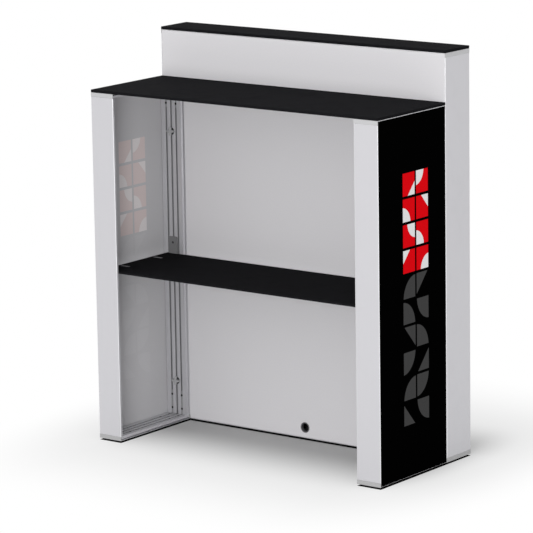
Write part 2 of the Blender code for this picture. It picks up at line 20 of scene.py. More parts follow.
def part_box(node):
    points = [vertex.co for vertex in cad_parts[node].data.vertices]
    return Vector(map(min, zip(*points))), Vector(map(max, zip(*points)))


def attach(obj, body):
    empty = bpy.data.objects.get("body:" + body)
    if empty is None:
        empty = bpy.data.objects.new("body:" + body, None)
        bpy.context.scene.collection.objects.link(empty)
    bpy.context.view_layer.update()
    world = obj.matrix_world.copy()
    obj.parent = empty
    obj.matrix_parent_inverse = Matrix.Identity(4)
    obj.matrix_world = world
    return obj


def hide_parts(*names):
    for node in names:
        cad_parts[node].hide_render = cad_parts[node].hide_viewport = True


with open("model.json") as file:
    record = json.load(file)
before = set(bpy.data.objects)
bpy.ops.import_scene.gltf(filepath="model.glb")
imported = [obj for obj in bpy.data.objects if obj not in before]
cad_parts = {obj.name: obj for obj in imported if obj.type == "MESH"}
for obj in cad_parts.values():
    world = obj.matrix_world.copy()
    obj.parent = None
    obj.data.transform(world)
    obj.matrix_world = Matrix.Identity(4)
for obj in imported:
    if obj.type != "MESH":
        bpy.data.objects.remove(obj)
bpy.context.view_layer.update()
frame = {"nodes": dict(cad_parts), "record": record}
nodes = frame["nodes"]

# %% [markdown]
# ## Small helpers
#
# Every finish below is a small web of shader nodes. Writing such a web by hand takes many lines, so
# helpers shorten it: one adds a node and joins its inputs in the same call, and the others use it for
# one sum, one mask or one node group. An input may be a number or another node's output, and both are
# written the same way.

# %% Helpers for node trees
MILLIMETRE = 0.001


def add_node(tree, kind, settings=None, **inputs):
    """Adds a node. Its settings are properties, and its inputs are values or other nodes' outputs."""
    made = tree.nodes.new(kind)
    for name, value in (settings or {}).items():
        setattr(made, name, value)
    for name, value in inputs.items():
        label = name.replace("_", " ")
        socket = made.inputs[int(label[1:])] if label[1:].isdigit() else made.inputs[label]
        if isinstance(value, bpy.types.NodeSocket):
            tree.links.new(value, socket)
        else:
            socket.default_value = value
    return made


def sum_of(tree, operation, *values):
    """One Math node. Its first, second and third inputs are numbers or outputs."""
    numbered = {f"n{i}": value for i, value in enumerate(values)}
    return add_node(tree, "ShaderNodeMath", {"operation": operation}, **numbered).outputs[0]


def vector_sum(tree, operation, *values, **named):
    """The outputs of one Vector Math node. Its inputs are given in order, or by name."""
    numbered = {f"n{i}": value for i, value in enumerate(values)}
    return add_node(tree, "ShaderNodeVectorMath", {"operation": operation}, **numbered, **named).outputs


def product(tree, *factors):
    """Several numbers or outputs, multiplied."""
    made = factors[0]
    for factor in factors[1:]:
        made = sum_of(tree, "MULTIPLY", made, factor)
    return made


def inside(tree, *spans):
    """One where each span's value lies between its two limits, and zero elsewhere."""
    above = [sum_of(tree, "GREATER_THAN", value, low) for value, low, high in spans]
    below = [sum_of(tree, "LESS_THAN", value, high) for value, low, high in spans]
    return product(tree, *above, *below)


def smooth_rise(tree, value, start, end, height=1.0):
    """Zero up to the start, the height from the end on, and a smooth rise between them."""
    settings = {"interpolation_type": "SMOOTHSTEP"}
    limits = {"From_Min": start, "From_Max": end, "To_Max": height}
    return add_node(tree, "ShaderNodeMapRange", settings, Value=value, **limits).outputs[0]


# %% Helpers for groups and materials


def new_group(name, kind, inputs, outputs):
    """A node group with named sockets of some kinds, and what its inputs give inside it."""
    group = bpy.data.node_groups.new(name, f"{kind}NodeTree")
    for in_out, sockets in (("INPUT", inputs), ("OUTPUT", outputs)):
        for label, socket in sockets.items():
            group.interface.new_socket(name=label, in_out=in_out, socket_type=f"NodeSocket{socket}")
    return group, group.nodes.new("NodeGroupInput").outputs


def use_group(tree, group, **inputs):
    """Places a node group in a material, and gives its outputs."""
    return add_node(tree, "ShaderNodeGroup", {"node_tree": group}, **inputs).outputs


def new_material(name, roughness, metallic=0.0, specular=0.5):
    """A material with its Principled shader's plain values set."""
    made = bpy.data.materials.new(name)
    made.use_nodes = True
    shader = made.node_tree.nodes["Principled BSDF"]
    shader.inputs["Roughness"].default_value = roughness
    shader.inputs["Metallic"].default_value = metallic
    shader.inputs["Specular IOR Level"].default_value = specular
    return made, made.node_tree, shader


def object_place(tree):
    """Where a point lies, in metres."""
    return tree.nodes.new("ShaderNodeTexCoord").outputs["Object"]


# %% [markdown]
# ## Grain that several finishes share
#
# Drawn metal, castings and laminate differ in colour, but each has a grain: long lines left by the
# die, or fine pits left by a mould. One group makes both. It stretches noise by a vector, so that equal
# numbers give pits and unequal ones give lines. It puts out a tone, which is close to one and
# multiplies the colour, and a height for the bump.

# %% The grain group


def tone_of(group, value, contrast):
    """A tone close to one, from a value close to a half."""
    return sum_of(group, "MULTIPLY_ADD", sum_of(group, "SUBTRACT", value, 0.5), contrast, 1.0)


grain, grain_in = new_group(
    "grain",
    "Shader",
    {"Place": "Vector", "Stretch": "Vector", "Contrast": "Float"},
    {"Tone": "Float", "Height": "Float"},
)
stretched = vector_sum(grain, "MULTIPLY", grain_in["Place"], grain_in["Stretch"])[0]
noise = add_node(grain, "ShaderNodeTexNoise", Vector=stretched, Scale=1.0, Detail=3.0).outputs[0]
add_node(grain, "NodeGroupOutput", Tone=tone_of(grain, noise, grain_in["Contrast"]), Height=noise)
print("group:", grain.name)

# %% [markdown]
# Handling leaves marks too: thumb smudges and wiped streaks, which show only where light glances off.
# So this group puts out a change of roughness, from large soft noise that is bent by a second noise.

# %% The handling group
MARKS_START = 0.45
MARKS_FULL = 0.75

handling, handling_in = new_group(
    "handling",
    "Shader",
    {"Place": "Vector", "Size": "Float", "Clean": "Float", "Handled": "Float"},
    {"Roughness": "Float"},
)
smudge = add_node(
    handling,
    "ShaderNodeTexNoise",
    Vector=handling_in["Place"],
    Scale=sum_of(handling, "DIVIDE", 1.0, handling_in["Size"]),
    Detail=4.0,
    Roughness=0.6,
    Distortion=1.4,
)
mark = smooth_rise(handling, smudge.outputs[0], MARKS_START, MARKS_FULL)
spread = sum_of(handling, "SUBTRACT", handling_in["Handled"], handling_in["Clean"])
rough = sum_of(handling, "MULTIPLY_ADD", mark, spread, handling_in["Clean"])
add_node(handling, "NodeGroupOutput", Roughness=rough)
print("group:", handling.name)

# %% [markdown]
# ## Metals, rubber and plastic
#
# A rail and a stile are cut from the same drawn bar, but the die's lines run along the bar, so the
# finish needs a version for each direction. Anodised aluminium is a metal under a thin matt skin: its
# reflections are broad and its colour is a cool pale grey. Castings, steel, rubber, plastic and
# laminate have pits instead of lines and differ only in their numbers, so a table holds them all. A row
# gives the colour, the pits' contrast and depth in millimetres, the roughness where clean and where
# handled, how metallic it is and, for the dullest, how weakly it reflects.

# %% Finishes of the hard pieces
ALONG = 6.0
ACROSS = 1500.0
PITS = (1100.0, 1100.0, 1100.0)
GRAIN_BUMP = 0.35
SMUDGE_SIZE = 0.08
ANODISED = ((0.62, 0.615, 0.64), 0.05, 0.02, 0.42, 0.52, 0.5)
PITTED = {
    "corner_casting_grey": ((0.54, 0.54, 0.55), 0.16, 0.05, 0.45, 0.6, 0.35),
    # Painted shade: the lower castings are a darker grey than the upper ones
    "corner_casting_worn": ((0.45, 0.45, 0.455), 0.2, 0.05, 0.5, 0.65, 0.35),
    "bracket_powder_coat": ((0.18, 0.18, 0.185), 0.12, 0.08, 0.5, 0.6, 0.0),
    "knob_casting": ((0.50, 0.50, 0.51), 0.12, 0.04, 0.45, 0.6, 0.5),
    "plated_steel": ((0.60, 0.60, 0.60), 0.06, 0.01, 0.22, 0.38, 1.0),
    "black_oxide_steel": ((0.004, 0.004, 0.0042), 0.2, 0.01, 0.55, 0.7, 0.0, 0.15),
    # Painted highlight: a bright, almost mirror grey for the frames' bevels and chamfers
    "rubbed_edge": ((0.90, 0.90, 0.92), 0.06, 0.01, 0.30, 0.42, 1.0),
    # Painted shade: darker greys for the slots' chambers and mouths; the casting legs take the mouths'
    # grey
    "slot_chamber_dull": ((0.25, 0.25, 0.26), 0.2, 0.02, 0.6, 0.7, 0.3),
    "slot_mouth_dull": ((0.38, 0.38, 0.39), 0.16, 0.05, 0.55, 0.7, 0.3),
    # Painted shade: near black for the lip below a black panel
    "scuffed_floor_lip": ((0.045, 0.045, 0.047), 0.4, 0.03, 0.6, 0.75, 0.3),
    "black_rubber": ((0.004, 0.004, 0.004), 0.3, 0.05, 0.8, 0.9, 0.0, 0.1),
    "moulded_black_plastic": ((0.018, 0.018, 0.019), 0.2, 0.03, 0.4, 0.5, 0.0),
    "grommet_plastic": ((0.10, 0.10, 0.105), 0.15, 0.02, 0.3, 0.42, 0.0),
    "matt_black_laminate": ((0.0105, 0.0105, 0.0118), 0.35, 0.05, 0.72, 0.8, 0.0, 0.005),
    "silicone_strip": ((0.55, 0.55, 0.55), 0.1, 0.02, 0.35, 0.45, 0.0),
}


def colour_and_bump(tree, shader, colour, relief, strength, depth):
    """Base Color as a colour times a relief's tone, and a bump from the relief's height."""
    scaled = vector_sum(tree, "SCALE", Vector=colour, Scale=relief["Tone"])
    tree.links.new(scaled[0], shader.inputs["Base Color"])
    bump = add_node(
        tree, "ShaderNodeBump", Strength=strength, Distance=depth * MILLIMETRE, Height=relief["Height"]
    )
    tree.links.new(bump.outputs["Normal"], shader.inputs["Normal"])


def grained_finish(name, stretch, colour, contrast, depth, clean, handled, metallic, specular=0.5):
    """A hard finish with a grain, and with roughness that handling has changed."""
    made, tree, shader = new_material(name, clean, metallic, specular)
    place = object_place(tree)
    relief = use_group(tree, grain, Place=place, Stretch=stretch, Contrast=contrast)
    colour_and_bump(tree, shader, colour, relief, GRAIN_BUMP, depth)
    marks = use_group(tree, handling, Place=place, Size=SMUDGE_SIZE, Clean=clean, Handled=handled)
    tree.links.new(marks["Roughness"], shader.inputs["Roughness"])
    return made


anodised = []
for along, axis in enumerate("xyz"):
    stretch = tuple(ALONG if i == along else ACROSS for i in range(3))
    anodised.append(grained_finish(f"anodised_drawn_along_{axis}", stretch, *ANODISED))
pitted = {name: grained_finish(name, PITS, *values) for name, values in PITTED.items()}
print(len(anodised) + len(pitted), "hard finishes")

# %% [markdown]
# ## Cloth
#
# The panels are knitted polyester, printed on one side and stretched until flat. Close up the threads
# show as a fine even net. The group below draws it from two sine waves that cross, one thread over the
# next, and adds slow noise because no yarn is even. It works on the piece's own UV map, which is laid
# out in metres along the cloth, so that the net turns with the cloth where it enters the groove.

# %% The net group
THREAD_PITCH = 0.8 * MILLIMETRE
THREAD_SHARE = 0.35
SLUBS_PER_METRE = 260.0

net, net_in = new_group(
    "net", "Shader", {"Place": "Vector", "Contrast": "Float"}, {"Tone": "Float", "Height": "Float"}
)
at = add_node(net, "ShaderNodeSeparateXYZ", Vector=net_in["Place"]).outputs
waves = [sum_of(net, "SINE", product(net, at[axis], math.pi / THREAD_PITCH)) for axis in ("X", "Y")]
slubs = add_node(
    net, "ShaderNodeTexNoise", Vector=net_in["Place"], Scale=SLUBS_PER_METRE, Detail=2.0
)
uneven = sum_of(net, "MULTIPLY_ADD", product(net, *waves), THREAD_SHARE, slubs.outputs[0])
add_node(net, "NodeGroupOutput", Tone=tone_of(net, uneven, net_in["Contrast"]), Height=uneven)
print("group:", net.name)

# %% [markdown]
# ## The print
#
# The side panels are printed black with a column of coloured tiles: red and white ones above, grey ones
# below. The design is plain quarter discs and triangles, like old floor tiles. A shader can draw this
# exactly at any size. It finds which tile a point lies in, and where in that tile, and then compares
# that place with a circle or a diagonal. The group puts out masks only, because the front of the cloth
# and its paler back turn the same masks into different colours.

# %% The tile group
TILE = 0.0640
TILE_ROW = 0.0715
TILE_GAP_SHARE = 0.055
GREY_SHARE = 0.93
WHITE_SHARE = 0.62
COLUMNS = 2
GREY_ROWS = 6
RED_ROWS = 4
PRINT_LOW = 0.150

tiles, tiles_in = new_group(
    "tiles", "Shader", {"Across": "Float", "Up": "Float"}, dict.fromkeys(("Red", "White", "Grey"), "Float")
)
tile_sum = partial(sum_of, tiles)
columns = tile_sum("DIVIDE", tiles_in["Across"], TILE)
rows = tile_sum("DIVIDE", tile_sum("SUBTRACT", tiles_in["Up"], PRINT_LOW), TILE_ROW)
column, row = tile_sum("FLOOR", columns), tile_sum("FLOOR", rows)
in_column, in_row = tile_sum("SUBTRACT", columns, column), tile_sum("SUBTRACT", rows, row)

# Ink lies on the printed tiles, inside the black gap round each, and its colour is by zone
tile_face = (TILE_GAP_SHARE, 1.0 - TILE_GAP_SHARE)
ink = inside(
    tiles,
    (columns, 0.0, COLUMNS),
    (rows, 0.0, GREY_ROWS + RED_ROWS),
    (in_column, *tile_face),
    (in_row, *tile_face),
)
red_zone = tile_sum("GREATER_THAN", rows, GREY_ROWS)

# Each tile is turned its own way, by a rule of its row and column
turned_x = tile_sum("MODULO", tile_sum("MULTIPLY_ADD", row, 3.0, column), 2.0)
turned_y = tile_sum("MODULO", tile_sum("FLOOR", tile_sum("MULTIPLY_ADD", row, 0.5, column)), 2.0)
x = tile_sum("ABSOLUTE", tile_sum("SUBTRACT", in_column, turned_x))
y = tile_sum("ABSOLUTE", tile_sum("SUBTRACT", in_row, turned_y))

# Every third tile is a triangle and the others are quarter discs
radius = tile_sum("SQRT", tile_sum("ADD", product(tiles, x, x), product(tiles, y, y)))
reach = tile_sum("MULTIPLY_ADD", red_zone, WHITE_SHARE - GREY_SHARE, GREY_SHARE)
disc = tile_sum("LESS_THAN", radius, reach)
triangle = tile_sum("LESS_THAN", tile_sum("ADD", x, y), reach)
third = tile_sum("LESS_THAN", tile_sum("MODULO", tile_sum("ADD", row, column), 3.0), 0.5)
other = tile_sum("SUBTRACT", 1.0, third)
motif = tile_sum("ADD", product(tiles, triangle, third), product(tiles, disc, other))
red = product(tiles, ink, red_zone)
grey = product(tiles, tile_sum("SUBTRACT", ink, red), motif)
add_node(tiles, "NodeGroupOutput", Red=red, White=product(tiles, red, motif), Grey=grey)
print("group:", tiles.name, "with", len(tiles.nodes), "nodes")

# %% [markdown]
# Cloth has two sides. The printed side is deep black where it is black. On the other side the white
# yarn shows, greyed by the ink behind it, and the red and white tiles come through as a faint ghost.

# %% Finishes of the cloth
PRINT_BLACK = (0.0008, 0.0008, 0.0008)
PRINT_INKS = ((0.78, 0.004, 0.008), (0.86, 0.86, 0.86), (0.060, 0.060, 0.060))
BACK_OF_BLACK = (0.605, 0.60, 0.615)
BACK_OF_INKS = ((0.76, 0.66, 0.65), (0.84, 0.80, 0.80), (0.625, 0.62, 0.635))
BACK_OF_WALL = (0.50, 0.495, 0.51)
WALL_WHITE = (0.71, 0.70, 0.72)
PRINT_START = -0.110
THREAD_BUMP = 0.25
THREAD_DEPTH = 0.1


def cloth(name, ground, roughness, contrast, inks=()):
    """Cloth in a ground colour. Red, white and grey inks fill its tiles, which lie along Y and up Z."""
    made, tree, shader = new_material(name, roughness, specular=0.0)
    colour = ground
    if inks:
        at = add_node(tree, "ShaderNodeSeparateXYZ", Vector=object_place(tree)).outputs
        across = sum_of(tree, "SUBTRACT", at["Y"], PRINT_START)
        masks = use_group(tree, tiles, Across=across, Up=at["Z"])
        colour = (*ground, 1.0)
        for label, ink in zip(("Red", "White", "Grey"), inks):
            layers = {"n0": masks[label], "n6": colour, "n7": (*ink, 1.0)}
            colour = add_node(tree, "ShaderNodeMix", {"data_type": "RGBA"}, **layers).outputs[2]
    place = tree.nodes.new("ShaderNodeUVMap").outputs[0]
    threads = use_group(tree, net, Place=place, Contrast=contrast)
    colour_and_bump(tree, shader, colour, threads, THREAD_BUMP, THREAD_DEPTH)
    return made


print_front = cloth("printed_cloth_front", PRINT_BLACK, 0.95, 0.2, PRINT_INKS)
print_back = cloth("printed_cloth_back", BACK_OF_BLACK, 0.9, 0.08, BACK_OF_INKS)
black_cloth = cloth("black_cloth_front", PRINT_BLACK, 0.9, 0.2)
black_cloth_back = cloth("black_cloth_back", BACK_OF_WALL, 0.9, 0.08)
white_cloth = cloth("white_cloth", WALL_WHITE, 0.9, 0.06)
print(len(bpy.data.materials), "materials")

# %% [markdown]
# ## Dressing a solid
#
# The solids have perfectly sharp edges, and no real piece has: every edge that is cut, drawn or cast
# catches a thin line of light. So most pieces are made from a merged copy of their solid, with a tiny
# bevel on its sharp edges. The solid itself is left as it is, and the copy stands in for it.

# %% Helpers that make pieces
MERGE = 0.002 * MILLIMETRE
FLAT_ENOUGH = math.radians(0.4)


def named(*words):
    """The solids whose names hold one of some words."""
    return [name for name in nodes if any(word in name for word in words)]


def new_object(name, data):
    """An object of a mesh, lamp or camera, in the scene."""
    made = bpy.data.objects.new(name, data)
    bpy.context.scene.collection.objects.link(made)
    return made


def as_object(name, made, *finishes):
    """An object from a bmesh, with its finishes in its material slots."""
    mesh = bpy.data.meshes.new(name)
    made.to_mesh(mesh)
    made.free()
    for finish in finishes:
        mesh.materials.append(finish)
    return new_object(name, mesh)


def copy_of(node, *finishes):
    """A copy of a solid, with its loose triangles joined and its flat faces made whole."""
    made = bmesh.new()
    made.from_mesh(nodes[node].data)
    bmesh.ops.remove_doubles(made, verts=made.verts, dist=MERGE)
    bmesh.ops.dissolve_limit(
        made, angle_limit=FLAT_ENOUGH, verts=made.verts, edges=made.edges, delimit={"NORMAL"}
    )
    return as_object(f"{node}_dressed", made, *finishes)


# %% Helpers that finish a piece
SHARP = math.radians(36)


def settled(piece):
    """Turns a piece and its modifiers into one plain mesh."""
    depsgraph = bpy.context.evaluated_depsgraph_get()
    mesh = bpy.data.meshes.new_from_object(piece.evaluated_get(depsgraph))
    mesh.name = piece.name
    piece.modifiers.clear()
    old = piece.data
    piece.data = mesh
    bpy.data.meshes.remove(old)
    return piece


def smooth(piece):
    """Shades a piece smooth, except over its sharp edges."""
    piece.data.shade_smooth()
    piece.data.set_sharp_from_angle(angle=SHARP)
    return piece


def soften(piece, width, segments=2, edge_finish=-1):
    """A small bevel on the sharp edges, with the flat faces kept flat to the light. The bevel may
    take another of the piece's finishes, by its number."""
    bevel = smooth(piece).modifiers.new("edges", "BEVEL")
    bevel.width = width
    bevel.segments = segments
    bevel.limit_method = "ANGLE"
    bevel.angle_limit = SHARP
    bevel.harden_normals = True
    bevel.material = edge_finish
    return settled(piece)


def cut(piece, cutters):
    """Takes the cutters' shapes out of a piece."""
    tool = as_object("cutter", cutters)
    cutting = piece.modifiers.new("cut", "BOOLEAN")
    cutting.object = tool
    cutting.solver = "EXACT"
    settled(piece)
    bpy.data.objects.remove(tool)


# %% Helpers that put a piece in place of its solid
bodies = frame["record"]["behaviour"]["bodies"]
body_of_node = {name: body for body, names in bodies.items() for name in names}
slot_of_node = {part["node"]: part["material_slot"] for part in frame["record"]["subparts"]}


def stand_for(piece, node):
    """The piece rides with its node's body, and replaces it."""
    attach(piece, body_of_node[node])
    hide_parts(node)


def dress(node, finish, width, segments=2):
    """A softened copy of a solid in its finish, which stands for it."""
    stand_for(soften(copy_of(node, finish), width, segments), node)


# %% [markdown]
# ## The frames
#
# Twelve lengths of drawn aluminium. The mouth of each T-slot is chamfered, which the plain solid leaves
# out: three long wedges are cut from the merged copy. The lines of the die follow the piece's length,
# so the finish is chosen by the longest side of the piece's box. More finishes go on by face, and paint
# light and shade: the bevels and the chamfers that don't face down get a bright painted highlight, the
# slots and their mouths a dark painted shade, and the lip below a black panel a near-black painted shade.
# A face's place in the profile tells which one it gets. A corner casting is pale only in the cap that
# shows; its legs, in the slots, take the mouths' painted shade, and lower castings a darker painted shade.

# %% How a member lies in its frame
SLOT_PITCH = {"left_wing": 18 * MILLIMETRE, "right_wing": 18 * MILLIMETRE, "wall": 36 * MILLIMETRE}
BLACK_SIDE = {"left_wing": -1, "right_wing": 1, "wall": 1}
FRAMES = tuple(SLOT_PITCH)


def frame_of(node):
    """The name of the frame that a node belongs to, which its own name starts with."""
    return next(name for name in FRAMES if node.startswith(name))


def frame_box(node):
    """Lowest and highest corner of the frame that a node belongs to, from its rails and castings."""
    start = f"{frame_of(node)}_"
    own = [name for name in nodes if name.startswith(start) and name.endswith(("rail", "corner"))]
    boxes = [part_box(name) for name in own]
    low = Vector(min(box[0][i] for box in boxes) for i in range(3))
    high = Vector(max(box[1][i] for box in boxes) for i in range(3))
    return low, high


def long_axis(low, high):
    """The longer of a box's two level axes."""
    return 0 if high.x - low.x > high.y - low.y else 1


def point_on(axes, values):
    """The point that has each value on its axis, and zero on an axis that isn't named."""
    point = Vector()
    for axis, value in zip(axes, values):
        point[axis] = value
    return point


def profile_of(node):
    """A member's box, its axes from the shortest side to the longest, and where the face with the
    slots lies on the shortest axis, with the way it looks."""
    low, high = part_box(node)
    size = high - low
    axes = sorted(range(3), key=lambda i: size[i])
    deep = axes[0]
    frame_low, frame_high = frame_box(node)
    on_high_side = low[deep] + high[deep] > frame_low[deep] + frame_high[deep]
    return low, high, axes, (low[deep], -1) if on_high_side else (high[deep], 1)


members = [name for name, slot in slot_of_node.items() if slot == "frame_profile"]
corners = [name for name, slot in slot_of_node.items() if slot == "corner_casting"]
print(len(members), "members and", len(corners), "corners in", len(FRAMES), "frames")

# %% The mouths of the slots
SLOT_NECK = 5 * MILLIMETRE
SLOT_MOUTH = 7.2 * MILLIMETRE
MOUTH_DEPTH = (SLOT_MOUTH - SLOT_NECK) / 2
OVERRUN = 0.1 * MILLIMETRE


def open_mouths(piece, node):
    """Cuts a chamfer on both sides of each slot's mouth, over the member's whole length."""
    low, high, (deep, wide, along), (surface, inwards) = profile_of(node)
    pitch = SLOT_PITCH[frame_of(node)]
    runs = (low[along] - OVERRUN, high[along] + OVERRUN)
    levels = (-OVERRUN, MOUTH_DEPTH + OVERRUN)
    cutters = bmesh.new()
    for slot in (-pitch, 0.0, pitch):
        points = []
        for run, level, side in itertools.product(runs, levels, (-1, 1)):
            across = (low[wide] + high[wide]) / 2 + slot + side * (SLOT_MOUTH / 2 - level)
            point = point_on((along, wide, deep), (run, across, surface - inwards * level))
            points.append(cutters.verts.new(point))
        bmesh.ops.convex_hull(cutters, input=points)
    bmesh.ops.recalc_face_normals(cutters, faces=cutters.faces)
    cut(piece, cutters)


# %% A finish for each face
SLOT_LEVELS = (0.2 * MILLIMETRE, 5.7 * MILLIMETRE)
OUTER_LIP_LEVEL = 10.3 * MILLIMETRE
BESIDE_SLOTS = 15 * MILLIMETRE
SLANTED = 0.6
# Material slots of the painted light: shade in slots and mouths, shade on the lip, highlight on edges
SLOT_SHADE, EDGE_HIGHLIGHT, LIP_SHADE, MOUTH_SHADE = 1, 2, 3, 4
PAINTED_LIGHT_FINISHES = ("slot_chamber_dull", "rubbed_edge", "scuffed_floor_lip", "slot_mouth_dull")


def finish_faces(piece, node):
    """Paints light by face: a dark painted shade in the slots and a lighter one on their mouths, a
    near-black painted shade on the lip below black cloth, and a bright painted highlight on the other
    chamfers that don't face down."""
    low, high, (deep, wide, _), (surface, inwards) = profile_of(node)
    middle = (low[wide] + high[wide]) / 2
    reach = (high[wide] - low[wide]) / 2 - BESIDE_SLOTS
    black_side = BLACK_SIDE[frame_of(node)] if node.endswith("bottom_rail") else 0
    for face in piece.data.polygons:
        level = (surface - face.center[deep]) * inwards
        slanted = min(abs(face.normal[deep]), abs(face.normal[wide])) > SLANTED
        if level > OUTER_LIP_LEVEL and face.normal[wide] * black_side > SLANTED:
            face.material_index = LIP_SHADE
        elif SLOT_LEVELS[0] < level < SLOT_LEVELS[1] and abs(face.center[wide] - middle) < reach:
            face.material_index = MOUTH_SHADE if slanted else SLOT_SHADE
        elif slanted and face.normal.z > -SLANTED:
            face.material_index = EDGE_HIGHLIGHT


# %% Frame members
MEMBER_EDGE = 0.32 * MILLIMETRE

for name in members:
    drawn = anodised[profile_of(name)[2][-1]]
    bar = copy_of(name, drawn, *(pitted[finish] for finish in PAINTED_LIGHT_FINISHES))
    open_mouths(bar, name)
    # The bevels take the painted highlight
    soften(bar, MEMBER_EDGE, edge_finish=EDGE_HIGHLIGHT)
    finish_faces(bar, name)
    stand_for(bar, name)
print("dressed", len(members), "members")

# %% Corner castings
CASTING_EDGE = 0.25 * MILLIMETRE
CAP_DEPTH = 1.9 * MILLIMETRE

for name in corners:
    # The lower castings take a darker grey, painted shade near the floor
    finish = pitted["corner_casting_worn" if "_lower_" in name else "corner_casting_grey"]
    casting = soften(copy_of(name, finish, pitted["slot_mouth_dull"]), CASTING_EDGE)
    low, high = frame_box(name)
    run = long_axis(low, high)
    for face in casting.data.polygons:
        place = face.center[run]
        # Faces away from the cap lie in the slots and take the mouths' painted shade
        if min(place - low[run], high[run] - place) > CAP_DEPTH:
            face.material_index = SLOT_SHADE
    stand_for(casting, name)
print("dressed", len(corners), "corner castings")

# %% [markdown]
# ## Clamp screws
#
# Each corner casting is clamped by eight screws, two in each arm of its two bent legs. They show in the
# slots as black dots. There are ninety-six, all alike, so a Geometry Nodes tree puts one screw on every
# point of a cloud. Each point carries the way its screw faces, as an attribute.

# %% The tree that puts fasteners on points


def end_tree(tree, geometry, finish):
    """The end of every tree: its instances become real mesh, and take their finish."""
    real = add_node(tree, "GeometryNodeRealizeInstances", Geometry=geometry)
    coated = add_node(tree, "GeometryNodeSetMaterial", Geometry=real.outputs[0], Material=finish)
    add_node(tree, "NodeGroupOutput", Made=coated.outputs[0])


def run_tree(piece, tree, **inputs):
    """Makes a piece's mesh by a tree. Each input is set by its socket's identifier."""
    modifier = piece.modifiers.new(tree.name, "NODES")
    modifier.node_group = tree
    for item in tree.interface.items_tree:
        label = item.name.replace(" ", "_")
        if item.in_out == "INPUT" and label in inputs:
            modifier[item.identifier] = inputs[label]
    return settled(piece)


fasteners, given = new_group(
    "fasteners_on_points",
    "Geometry",
    {"Points": "Geometry", "Fastener": "Object", "Finish": "Material"},
    {"Made": "Geometry"},
)
shape = add_node(fasteners, "GeometryNodeObjectInfo", Object=given["Fastener"])
facing = add_node(
    fasteners, "GeometryNodeInputNamedAttribute", {"data_type": "FLOAT_VECTOR"}, Name="facing"
)
turn = add_node(
    fasteners, "FunctionNodeAlignRotationToVector", {"axis": "Z"}, Vector=facing.outputs["Attribute"]
)
placed = add_node(
    fasteners,
    "GeometryNodeInstanceOnPoints",
    Points=given["Points"],
    Instance=shape.outputs["Geometry"],
    Rotation=turn.outputs["Rotation"],
)
end_tree(fasteners, placed.outputs["Instances"], given["Finish"])
print("tree:", fasteners.name)

# %% [markdown]
# The screw itself is a short shank with a hexagonal socket, and a thin flange whose coned underside
# seats in the chamfered mouth. It is drawn as rings of points, from the inside out: up the shank, out
# and over the flange, across the face and down into the hexagon. The same helpers, a ring, a skin over
# rings and a turned piece, serve the knobs and the grommet later. Their outlines are in millimetres.

# %% Rings, skins and turned pieces


def ring(made, reach, z, count):
    """A ring of points at a height. Its reach is a radius, or a radius for each angle."""
    points = []
    for i in range(count):
        angle = math.tau * i / count
        radius = (reach(angle) if callable(reach) else reach) * MILLIMETRE
        place = (radius * math.cos(angle), radius * math.sin(angle), z * MILLIMETRE)
        points.append(made.verts.new(place))
    return points


def skin(made, rings, closed):
    """Quads between rings, with both ends closed, or with the last ring joined to the first."""
    pairs = list(zip(rings, rings[1:])) + ([(rings[-1], rings[0])] if closed else [])
    for lower, upper in pairs:
        for i in range(len(lower)):
            j = (i + 1) % len(lower)
            made.faces.new((lower[i], lower[j], upper[j], upper[i]))
    if not closed:
        made.faces.new(list(reversed(rings[0])))
        made.faces.new(rings[-1])
    bmesh.ops.recalc_face_normals(made, faces=made.faces)


def turned(name, outline, count, seat, *finishes, closed=True):
    """A piece whose outline of reaches and heights goes once round the local Z axis of its seat."""
    made = bmesh.new()
    skin(made, [ring(made, reach, z, count) for reach, z in outline], closed)
    bmesh.ops.transform(made, matrix=seat, verts=made.verts)
    return as_object(name, made, *finishes)


# %% A clamp screw
SCREW_SIDES = 24
HEXAGON = 6


def hexagon(width):
    """The reach of a hexagon that measures a width across its flats."""
    sector = math.tau / HEXAGON
    return lambda angle: width / 2 / math.cos((angle + sector / 2) % sector - sector / 2)


SCREW_OUTLINE = (
    (1.95, -4.8),  # the shank's end, chamfered
    (2.3, -4.45),
    (2.3, -0.5),
    (2.9, -0.5),  # the flange's underside, a cone
    (3.45, -0.12),
    (3.33, 0.0),  # the face that shows
    (hexagon(2.5), 0.0),
    (hexagon(2.5), -2.2),  # the socket's floor
)
pattern = turned("clamp_screw_pattern", SCREW_OUTLINE, SCREW_SIDES, Matrix(), closed=False)
print("a clamp screw of", len(pattern.data.polygons), "faces")

# %% [markdown]
# A casting sits where a rail meets a stile. Its screws stand at two distances from the frame's outer
# corner, in the first and the last slot, and look inwards. So the frame's own box gives every place:
# no screw is typed in by hand.

# %% Clamp screws in every corner
SCREW_PLACES = (29 * MILLIMETRE, 70 * MILLIMETRE)
SCREW_LEVEL = 11.98 * MILLIMETRE
FRAME_BODY = body_of_node["wall_top_rail"]


def place_screws(name, places):
    """One piece of equal screws. Each place is a point and the direction that its screw faces."""
    cloud = bpy.data.meshes.new(name)
    cloud.from_pydata([point for point, way in places], [], [])
    facings = cloud.attributes.new("facing", "FLOAT_VECTOR", "POINT")
    for item, (point, way) in zip(facings.data, places):
        item.vector = way
    piece = new_object(name, cloud)
    run_tree(piece, fasteners, Fastener=pattern, Finish=pitted["black_oxide_steel"])
    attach(piece, FRAME_BODY)


